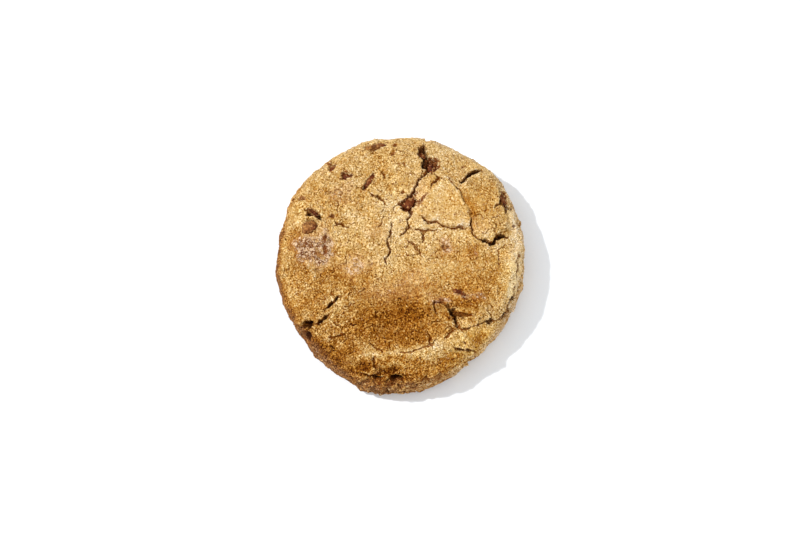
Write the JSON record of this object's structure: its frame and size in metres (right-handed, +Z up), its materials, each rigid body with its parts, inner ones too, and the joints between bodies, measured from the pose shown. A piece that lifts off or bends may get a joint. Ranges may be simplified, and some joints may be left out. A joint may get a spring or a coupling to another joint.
{
  "type": "milk chocolate cookie",
  "caption": "Thick round baked cookie with a cracked, crumbly golden crust, a toasted hollow and milk chocolate chunks set in its top.",
  "frame": {"origin": "middle of the flat base, under the middle of the cookie's box", "axes": "+Z up through the top crust, +X to the right and +Y to the back, with the toasted hollow towards -Y"},
  "size_m": [0.0796, 0.0843, 0.0208],
  "materials": {
    "dough": "matt crumbly baked crust, golden tan with browner toasted patches",
    "chocolate": "satin milk chocolate, dulled by baking"
  },
  "bodies": {
    "root": {"cookie": "dough", "chunk_centre": "chocolate", "chunk_split": "chocolate", "chunk_nick": "chocolate", "chunk_sliver": "chocolate", "chunk_back_left": "chocolate", "chunk_rim_left": "chocolate", "chunk_left_gap": "chocolate", "chunk_left_lump": "chocolate", "chunk_rim_right": "chocolate", "chunk_middle": "chocolate", "chunk_brow": "chocolate", "chunk_back_rim": "chocolate"}
  },
  "joints": []
}
